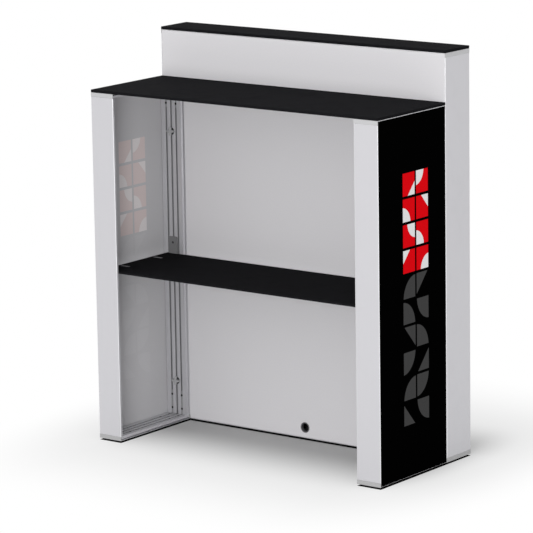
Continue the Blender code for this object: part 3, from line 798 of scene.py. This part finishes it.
def corner_screws(name, slot):
    """Where a frame's clamp screws sit, and the way that each one faces."""
    low, high = frame_box(name)
    run = long_axis(low, high)
    across = 1 - run
    middle = (low[across] + high[across]) / 2
    ends, levels = ((low[run], 1), (high[run], -1)), ((low.z, 1), (high.z, -1))
    places = []
    for (end, inwards), (level, up), side in itertools.product(ends, levels, (-slot, slot)):
        for reach in SCREW_PLACES:
            for along, height, axis in ((reach, SCREW_LEVEL, 2), (SCREW_LEVEL, reach, run)):
                point = (end + inwards * along, middle + side, level + up * height)
                way = point_on((axis,), (up if axis == 2 else inwards,))
                places.append((point_on((run, across, 2), point), way))
    return places


for name, slot in SLOT_PITCH.items():
    places = corner_screws(name, slot)
    place_screws(f"{name}_clamp_screws", places)
    print(name, "has", len(places), "clamp screws")

# %% [markdown]
# ## Fabric in the frames
#
# Each panel is a little larger than its frame. A thin silicone strip is sewn flat to its edge, turned
# in, and pressed into a groove all round, which pulls the cloth tight. What shows is a flat face whose
# edge rolls down beside the aluminium, with very shallow ripples that die out within a hand's width.
# A simulation would only find this same flat face, so the cloth is laid out as a grid. Grid lines are
# crowded where the edge rolls over.

# %% The two skins of a panel
CLOTH = 0.9 * MILLIMETRE
EDGE_LINES = [step * MILLIMETRE for step in (0.0, 0.08, 0.3, 0.65, 1.1, 1.6)]
EDGE_ROLL = EDGE_LINES[-1]
GRID = 9 * MILLIMETRE
RIPPLE = 0.16 * MILLIMETRE
RIPPLE_REACH = 45 * MILLIMETRE
RIPPLE_LENGTHS = (0.031, 0.0473)


def grid_lines(low, high):
    """Places of the grid lines from one edge of the panel to the other."""
    inner = high - low - 2 * EDGE_ROLL
    count = round(inner / GRID)
    even = [low + EDGE_ROLL + inner * i / count for i in range(1, count)]
    return [low + step for step in EDGE_LINES] + even + [high - step for step in reversed(EDGE_LINES)]


def ripple(along):
    """A shallow wave of two lengths, between minus one and one."""
    return sum(math.sin(math.tau * along / length) for length in RIPPLE_LENGTHS) / 2


def skin_depth(to_side, to_end, u, v):
    """How far the outer skin lies below its plane: rolled over at the edge, and rippled near it."""
    edge = min(to_side, to_end, EDGE_ROLL) / EDGE_ROLL
    roll = CLOTH * (1.0 - math.sqrt(1.0 - (1.0 - edge) ** 2))
    waves = ripple(v) * math.exp(-to_side / RIPPLE_REACH) + ripple(u) * math.exp(-to_end / RIPPLE_REACH)
    return roll, RIPPLE * edge * waves


def add_skins(made, low, high, run, plane, way):
    """The two skins of the cloth, joined along their shared edge."""
    across, up = grid_lines(low[run], high[run]), grid_lines(low.z, high.z)

    def vertex(u, v, depth):
        return made.verts.new(point_on((run, 1 - run, 2), (u, plane - way * depth, v)))

    outer, inner = {}, {}
    for i, u in enumerate(across):
        for j, v in enumerate(up):
            to_side, to_end = min(u - across[0], across[-1] - u), min(v - up[0], up[-1] - v)
            roll, wave = skin_depth(to_side, to_end, u, v)
            outer[i, j] = vertex(u, v, roll + wave)
            inner[i, j] = vertex(u, v, CLOTH + wave) if min(to_side, to_end) else outer[i, j]
    for i in range(len(across) - 1):
        for j in range(len(up) - 1):
            square = ((i, j), (i + 1, j), (i + 1, j + 1), (i, j + 1))
            made.faces.new([outer[corner] for corner in square])
            made.faces.new([inner[corner] for corner in reversed(square)]).material_index = 1


# %% The silicone strips
STRIP_SPAN = (0.1 * MILLIMETRE, 2.7 * MILLIMETRE)
STRIP_ENDS = (2.0 * MILLIMETRE, 12.4 * MILLIMETRE)
STRIP_EDGE = 0.35 * MILLIMETRE


def add_strips(made, low, high, run, back, tip):
    """The four silicone strips behind the edges, with rounded corners."""
    for (axis, other), ends in zip(((run, 2), (2, run)), STRIP_ENDS):
        for edge, inwards in ((low[other], 1), (high[other], -1)):
            deep = sorted((back, tip))
            span = sorted(edge + inwards * step for step in STRIP_SPAN)
            length = (low[axis] + ends, high[axis] - ends)
            start, end = (point_on((1 - run, other, axis), values) for values in zip(deep, span, length))
            place = Matrix.Translation((start + end) / 2) @ Matrix.Diagonal((*(end - start), 1.0))
            box = bmesh.ops.create_cube(made, size=1.0, matrix=place)["verts"]
            for face in {face for vert in box for face in vert.link_faces}:
                face.material_index = 2
            edges = list({edge for vert in box for edge in vert.link_edges})
            bmesh.ops.bevel(made, geom=edges, offset=STRIP_EDGE, segments=2, profile=0.5, affect="EDGES")


def lay_out(piece):
    """A UV map in metres, taken straight off the flat of each face."""
    flat = piece.data.uv_layers.new(name="cloth")
    for face in piece.data.polygons:
        normal = max(range(3), key=lambda i: abs(face.normal[i]))
        axes = [i for i in range(3) if i != normal]
        for corner in face.loop_indices:
            at = piece.data.vertices[piece.data.loops[corner].vertex_index].co
            flat.data[corner].uv = (at[axes[0]], at[axes[1]])


def fabric_panel(node, finishes, frame_name, holes=None):
    """A stretched panel in the place of its solid."""
    low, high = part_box(node)
    run = long_axis(low, high)
    normal = 1 - run
    frame_low, frame_high = frame_box(frame_name)
    way = 1 if frame_high[normal] - high[normal] < low[normal] - frame_low[normal] else -1
    plane, tip = (high[normal], low[normal]) if way > 0 else (low[normal], high[normal])
    made = bmesh.new()
    add_skins(made, low, high, run, plane, way)
    add_strips(made, low, high, run, plane - way * CLOTH / 2, tip)
    bmesh.ops.recalc_face_normals(made, faces=made.faces)
    panel = as_object(f"{node}_stretched", made, *finishes)
    if holes:
        cut(panel, holes)
    lay_out(panel)
    stand_for(smooth(panel), node)


# %% [markdown]
# The cloth was cut larger than the panel by what goes round the strip and back: nine millimetres on
# every side. The wall's panel on the staff side has five holes, four where the locks' collars come
# through and one for the cable grommet. Their places are read from the knobs and from the grommet.

# %% The four panels
COLLAR_HOLE = 9.5 * MILLIMETRE
GROMMET_HOLE = 13.8 * MILLIMETRE
HOLE_SIDES = 64
HOLE_DEPTH = 6 * MILLIMETRE


def seat_along_y(node, y, way):
    """The matrix that puts a shape's local +Z along Y, one way or the other, through a solid's middle."""
    low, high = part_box(node)
    place = Vector(((low.x + high.x) / 2, y, (low.z + high.z) / 2))
    return Matrix.Translation(place) @ Vector((0.0, way, 0.0)).to_track_quat("Z", "Y").to_matrix().to_4x4()


wall_skin_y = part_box("wall_staff_fabric")[0].y
knobs = named("lock_knob_")
hole_radii = {**dict.fromkeys(knobs, COLLAR_HOLE), "cable_grommet": GROMMET_HOLE}
holes = bmesh.new()
for node, radius in hole_radii.items():
    bmesh.ops.create_cone(
        holes,
        cap_ends=True,
        segments=HOLE_SIDES,
        radius1=radius,
        radius2=radius,
        depth=HOLE_DEPTH,
        matrix=seat_along_y(node, wall_skin_y, 1.0),
    )

silicone = pitted["silicone_strip"]
fabric_panel("left_side_fabric", (print_front, print_back, silicone), "left_wing")
fabric_panel("right_side_fabric", (print_front, print_back, silicone), "right_wing")
fabric_panel("wall_front_fabric", (black_cloth, black_cloth_back, silicone), "wall")
fabric_panel("wall_staff_fabric", (white_cloth, white_cloth, silicone), "wall", holes)
print(len(hole_radii), "holes in the staff side's panel")

# %% [markdown]
# ## Boards
#
# Worktop, bar top and shelf are compact laminate, black right through, so their cut edges need no
# banding: they are only broken by a fine chamfer. The pins below the boards are turned plastic.

# %% Boards and pins
BOARD_EDGE = 0.3 * MILLIMETRE
PIN_EDGE = 0.25 * MILLIMETRE

for name in ("worktop", "bar_top", "shelf"):
    dress(name, pitted["matt_black_laminate"], BOARD_EDGE)
pins = named("_pin_")
for name in pins:
    dress(name, pitted["moulded_black_plastic"], PIN_EDGE)
print("3 boards and", len(pins), "pins")

# %% [markdown]
# ## Shelf brackets
#
# Each bracket is a grey casting: a plate up the stile, an arm under the shelf, and a pad that comes up
# flush through the shelf's slot. A screw through the plate clamps it in the T-slot, so the tree that
# filled the corners also puts one screw on each plate.

# %% Shelf brackets and their screws
BRACKET_EDGE = 0.4 * MILLIMETRE
PAD_FAR_END = 80 * MILLIMETRE
PLATE_FACE = 3.3 * MILLIMETRE
SCREW_PROUD = 0.55 * MILLIMETRE
SCREW_ABOVE_SHELF = 33 * MILLIMETRE

shelf_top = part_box("shelf")[1].z
plate_screws = []
for name in named("shelf_bracket_"):
    dress(name, pitted["bracket_powder_coat"], BRACKET_EDGE, 3)
    low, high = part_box(name)
    inwards = 1 if name.endswith("front") else -1
    pad_end = high.y if inwards > 0 else low.y
    face = pad_end - inwards * (PAD_FAR_END - PLATE_FACE - SCREW_PROUD)
    point = Vector(((low.x + high.x) / 2, face, shelf_top + SCREW_ABOVE_SHELF))
    plate_screws.append((point, Vector((0.0, inwards, 0.0))))
place_screws("bracket_screws", plate_screws)
bpy.data.objects.remove(pattern)
print(len(plate_screws), "brackets")

# %% [markdown]
# ## Quarter-turn locks
#
# High and low on each wing a knob pulls a hammer-head bolt tight against the wall. The knob is a small
# zinc casting with four lobes, so that a hand can turn it without a tool. Its outline is a circle whose
# radius swells and shrinks four times a turn. Rings of that outline, drawn in towards the top, give
# the rolled edge. The first rings are round and make the bore for the bolt, and so are the last, which
# make the dimple in the middle. Between the knob and the collar lies a black washer, whose rim shows in
# the notches between lobes: it is painted shade, a dark piece that darkens the notches.

# %% Knobs, bolts and receivers
KNOB_POINTS = 96
LOBES = 4
KNOB_MIDDLE = 9.5
KNOB_SWELL = 4.0
KNOB_EDGE = 0.12 * MILLIMETRE
BOLT_EDGE = 0.25 * MILLIMETRE


def lobed(drawn_in):
    """The reach of the knob's outline, drawn in by a distance."""
    return lambda angle: KNOB_MIDDLE + KNOB_SWELL * math.cos(LOBES * angle) - drawn_in


KNOB_LEVELS = ((0.3, 1.2), (0.0, 1.5), (0.0, 6.3), (0.2, 7.1), (0.7, 7.8), (1.4, 8.25), (2.3, 8.5))
KNOB_BORE = [(2.8, 6.0), (2.8, 1.2)]
KNOB_DIMPLE = [(3.0, 8.4), (2.7, 7.9)]
KNOB_OUTLINE = KNOB_BORE + [(lobed(drawn_in), z) for drawn_in, z in KNOB_LEVELS] + KNOB_DIMPLE
NOTCH_SHADE_WASHER_OUTLINE = ((2.8, 0.0), (10.9, 0.0), (11.4, 0.2), (11.4, 0.7), (11.1, 1.0), (2.8, 1.0))

for name in knobs:
    seat = seat_along_y(name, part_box(name)[1].y, -1.0)
    metal, black = pitted["knob_casting"], pitted["moulded_black_plastic"]
    knob = turned(f"{name}_cast", KNOB_OUTLINE, KNOB_POINTS, seat, metal, closed=False)
    stand_for(soften(knob, KNOB_EDGE), name)
    # The washer is painted shade: its black rim darkens the notches between the lobes
    notch_shade_washer = smooth(turned(f"{name}_washer", NOTCH_SHADE_WASHER_OUTLINE, KNOB_POINTS, seat, black))
    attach(notch_shade_washer, body_of_node[name])
steel_parts = named("lock_bolt_", "lock_receiver_")
for name in steel_parts:
    dress(name, pitted["plated_steel"], BOLT_EDGE)
print(len(knobs), "knobs with washers, and", len(steel_parts), "bolts and receivers")

# %% [markdown]
# ## Cable grommet
#
# A black ring with a rolled flange lines the hole low in the wall, and a second ring holds it from
# behind. Both are turned: a closed outline in radius and height goes once round an axis. Heights are
# measured from the cloth's face, into the wall.

# %% Grommet and ring
HOOP_SIDES = 72
HOOPS = {
    "cable_grommet": (
        (12.3, 8.0),
        (12.3, -0.8),
        (12.5, -1.25),
        (12.9, -1.5),
        (14.3, -1.5),
        (15.0, -1.2),
        (15.5, -0.7),
        (15.5, -0.3),
        (13.5, -0.3),
        (13.5, 8.0),
    ),
    "cable_grommet_ring": ((13.8, 1.2), (16.7, 1.2), (17.0, 1.5), (17.0, 2.4), (16.7, 2.7), (13.8, 2.7)),
}

for name, outline in HOOPS.items():
    seat = seat_along_y(name, wall_skin_y, 1.0)
    hoop = turned(f"{name}_turned", outline, HOOP_SIDES, seat, pitted["grommet_plastic"])
    stand_for(smooth(hoop), name)
    print(hoop.name, len(hoop.data.polygons), "faces")

# %% [markdown]
# ## Foot strips
#
# A strip of rubber under each frame keeps aluminium off the floor and evens out a poor one. Its
# underside is ribbed so that it grips. The ribs repeat, so Geometry Nodes make them: a line of points,
# a half-sunk rod on each, and a flat backing over them all. The strip lies along X, with its top at
# zero, and is turned and moved to its frame afterwards.

# %% The ribbed strip's tree
STRIP_SIZES = ("Length", "Width", "Thickness", "Rib Radius", "Rib Pitch")
RIB_SIDES = 8
RIB_SHARE = 0.98
RIB_RADIUS = 0.5 * MILLIMETRE
RIB_PITCH = 2.5 * MILLIMETRE

sizes = dict.fromkeys(STRIP_SIZES, "Float")
strip, given = new_group(
    "ribbed_strip", "Geometry", {**sizes, "Finish": "Material"}, {"Made": "Geometry"}
)
strip_sum = partial(sum_of, strip)
length, width, thickness, radius, pitch = (given[label] for label in STRIP_SIZES)


def strip_vector(**parts):
    """A vector from its named parts; a part that isn't named is zero."""
    return add_node(strip, "ShaderNodeCombineXYZ", **parts).outputs[0]


# The backing
backing_depth = strip_sum("SUBTRACT", thickness, radius)
size = strip_vector(X=length, Y=width, Z=backing_depth)
backing = add_node(strip, "GeometryNodeMeshCube", Size=size).outputs["Mesh"]
half_down = strip_vector(Z=strip_sum("MULTIPLY", backing_depth, -0.5))
hung = add_node(strip, "GeometryNodeTransform", Geometry=backing, Translation=half_down)

# The line of ribs
run = strip_sum("SUBTRACT", length, pitch)
count = strip_sum("ROUND", strip_sum("DIVIDE", run, pitch))
line = add_node(
    strip,
    "GeometryNodeMeshLine",
    Count=strip_sum("ADD", count, 1.0),
    Start_Location=strip_vector(
        X=strip_sum("MULTIPLY", run, -0.5), Z=strip_sum("MULTIPLY", backing_depth, -1.0)
    ),
    Offset=strip_vector(X=strip_sum("DIVIDE", run, count)),
)
rod_length = strip_sum("MULTIPLY", width, RIB_SHARE)
rod = add_node(
    strip, "GeometryNodeMeshCylinder", Vertices=RIB_SIDES, Radius=radius, Depth=rod_length
)
placed = add_node(
    strip,
    "GeometryNodeInstanceOnPoints",
    Points=line.outputs["Mesh"],
    Instance=rod.outputs["Mesh"],
    Rotation=(math.radians(90), 0.0, 0.0),
)
joined = strip.nodes.new("GeometryNodeJoinGeometry")
for geometry in (hung.outputs["Geometry"], placed.outputs["Instances"]):
    strip.links.new(geometry, joined.inputs["Geometry"])
end_tree(strip, joined.outputs["Geometry"], given["Finish"])
print("tree:", strip.name)

# %% The three strips
for name in named("_foot_strip"):
    low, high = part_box(name)
    size = high - low
    piece = new_object(f"{name}_ribbed", bpy.data.meshes.new(name))
    run_tree(
        piece,
        strip,
        Length=max(size.x, size.y),
        Width=min(size.x, size.y),
        Thickness=size.z,
        Rib_Radius=RIB_RADIUS,
        Rib_Pitch=RIB_PITCH,
        Finish=pitted["black_rubber"],
    )
    quarter = math.radians(90) * long_axis(low, high)
    middle = ((low.x + high.x) / 2, (low.y + high.y) / 2, high.z)
    piece.data.transform(Matrix.Translation(middle) @ Matrix.Rotation(quarter, 4, "Z"))
    stand_for(piece, name)
    print(piece.name, len(piece.data.polygons), "faces")

# %% [markdown]
# ## The studio
#
# The counter stands on a pale floor that has no visible end. Round the counter the floor is an ordinary
# matt surface, so that it takes shadows, and right under each frame it is painted black, a painted
# contact shadow on which the frames stand as on a dark line. Outwards from the foot of the wall it turns
# to plain white, faster to the sides than to the front, but only for rays that come from the camera or
# from a reflection, so that it throws no extra light on the object. The world is built the same way:
# white to look at, and dimmer as a source of light.

# %% Two faces for one surface
PLAIN_WHITE = (1.0, 1.0, 1.0, 1.0)


def seen_rays(tree):
    """One for rays from the camera and for those that a mirror or clear body sends on, else zero."""
    path = tree.nodes.new("ShaderNodeLightPath").outputs
    sent_on = sum_of(tree, "MAXIMUM", path["Is Glossy Ray"], path["Is Transmission Ray"])
    return sum_of(tree, "MAXIMUM", path["Is Camera Ray"], sent_on)


def two_faced(tree, output, share, plain, seen):
    """Joins a mix of two shaders to a tree's output: the second as far as the share says."""
    mixed = add_node(tree, "ShaderNodeMixShader", n0=share, n1=plain.outputs[0], n2=seen.outputs[0])
    tree.links.new(mixed.outputs[0], tree.nodes[output].inputs["Surface"])


# %% The floor's finish
FLOOR_MATT = (0.52, 0.52, 0.52)
WALL_FOOT = (0.0, 0.12, 0.0)
WALL_FOOT_HALF = (0.40, 0.10, 0.0)
FASTER_SIDEWAYS = (1.8, 1.0, 1.0)
FADES = ((-0.04, 0.34, 0.68), (0.15, 0.85, 0.32))

pale_floor = bpy.data.materials.new("studio_floor")
pale_floor.use_nodes = True
tree = pale_floor.node_tree
tree.nodes.remove(tree.nodes["Principled BSDF"])
place = object_place(tree)

# How far a point lies from the wall's foot, and how white it is there
away = place
for operation, *values in (
    ("SUBTRACT", WALL_FOOT),
    ("ABSOLUTE",),
    ("SUBTRACT", WALL_FOOT_HALF),
    ("MAXIMUM", (0.0, 0.0, 0.0)),
    ("MULTIPLY", FASTER_SIDEWAYS),
):
    away = vector_sum(tree, operation, away, *values)[0]
far = vector_sum(tree, "LENGTH", away)["Value"]
fade = 0.0
for start, end, rise in FADES:
    fade = sum_of(tree, "ADD", fade, smooth_rise(tree, far, start, end, rise))

# One on the open floor, and zero under each frame, where the floor is painted black as a contact shadow
clear = 1.0
at = add_node(tree, "ShaderNodeSeparateXYZ", Vector=place).outputs
for name in FRAMES:
    low, high = frame_box(name)
    under = inside(tree, (at["X"], low.x, high.x), (at["Y"], low.y, high.y))
    clear = product(tree, clear, sum_of(tree, "SUBTRACT", 1.0, under))

# The floor's colour is black under each frame: a painted contact shadow
floor_colour_painted_shadow = vector_sum(tree, "SCALE", Vector=FLOOR_MATT, Scale=clear)[0]
matt = add_node(tree, "ShaderNodeBsdfDiffuse", Color=floor_colour_painted_shadow)
white = add_node(tree, "ShaderNodeEmission", Color=PLAIN_WHITE, Strength=1.0)
two_faced(tree, "Material Output", product(tree, fade, clear, seen_rays(tree)), matt, white)
print(pale_floor.name, "has", len(tree.nodes), "nodes")

# %% The floor
FLOOR_REACH = 14.0
FLOOR_SIDES = 64

floor_mesh = bmesh.new()
bmesh.ops.create_circle(floor_mesh, cap_ends=True, segments=FLOOR_SIDES, radius=FLOOR_REACH)
floor = as_object("studio_floor", floor_mesh, pale_floor)
print("stage:", floor.name)

# %% The world
SKY_STRENGTH = 0.82

world = bpy.data.worlds.new("studio")
world.use_nodes = True
bpy.context.scene.world = world
tree = world.node_tree
dim = tree.nodes["Background"]
dim.inputs["Color"].default_value = PLAIN_WHITE
dim.inputs["Strength"].default_value = SKY_STRENGTH
bright = add_node(tree, "ShaderNodeBackground", Color=PLAIN_WHITE, Strength=1.0)
two_faced(tree, "World Output", seen_rays(tree), dim, bright)
print("world:", world.name)

# %% [markdown]
# Two large soft boxes shape the light: one low in front, on the right, and a weaker one high above.
# A lamp's light falls with the square of its distance, so its power is worked out from the level that
# it should give: pi squared, times the distance squared, times the share of plain light.

# %% Soft boxes
CENTRE = Vector((0.0, 0.0, 0.55))
SOFT_BOXES = (
    ("soft_box_front", (2.15, -4.8, 1.2), 1.4, 0.375),
    ("soft_box_above", (-1.0, -1.6, 4.2), 2.6, 0.15),
)

for name, place, size, share in SOFT_BOXES:
    lamp = bpy.data.lights.new(name, "AREA")
    away = Vector(place) - CENTRE
    lamp.size = size
    lamp.energy = share * math.pi**2 * away.length_squared
    stand = new_object(name, lamp)
    stand.location = place
    stand.rotation_euler = away.to_track_quat("Z", "Y").to_euler()
    print(name, round(lamp.energy, 1), "W")

# %% [markdown]
# ## The camera
#
# It stands well back with a long lens, on the staff side and to the right, a little above the boards.
# The long lens keeps the counter's upright edges almost parallel.

# %% Camera
CAMERA_PLACE = (5.605, -7.466, 2.442)
CAMERA_LOOKS_DOWN = 11.564
CAMERA_LOOKS_LEFT = 37.138
CAMERA_ROLL = -0.909
LENS = 225.98

camera = new_object("camera", bpy.data.cameras.new("camera"))
turn = Matrix.Rotation(math.radians(CAMERA_LOOKS_LEFT), 4, "Z")
tip = Matrix.Rotation(math.radians(90 - CAMERA_LOOKS_DOWN), 4, "X")
roll = Matrix.Rotation(math.radians(CAMERA_ROLL), 4, "Z")
camera.matrix_world = Matrix.Translation(CAMERA_PLACE) @ turn @ tip @ roll
camera.data.lens = LENS
bpy.context.scene.camera = camera
bpy.context.scene.view_settings.view_transform = "Standard"
print("camera with a lens of", LENS, "mm")
